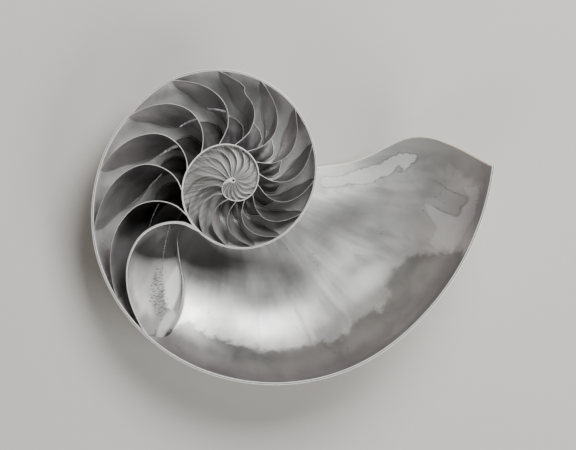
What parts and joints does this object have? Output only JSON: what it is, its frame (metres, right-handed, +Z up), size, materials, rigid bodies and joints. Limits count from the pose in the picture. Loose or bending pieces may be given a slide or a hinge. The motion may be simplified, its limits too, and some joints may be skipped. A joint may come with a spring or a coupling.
{
  "type": "nautilus shell half",
  "caption": "Half of a chambered nautilus shell, sawn through its middle plane, lying on its convex back with the spiral of chambers and the open body chamber facing up.",
  "frame": {"origin": "on the supporting surface, under the middle of the shell's bounding box", "axes": "+Z up; +X along the shell's longest extent, towards the lip of the body chamber; the sawn face looks up, tilted about 10.5 degrees towards -X"},
  "size_m": [0.1624, 0.129, 0.0496],
  "materials": {
    "nacre": "polished mother of pearl inside and on the cut edges, smooth porcelain-like outside with brown bands"
  },
  "bodies": {
    "root": {"nautilus_shell_half": "nacre"}
  },
  "joints": []
}
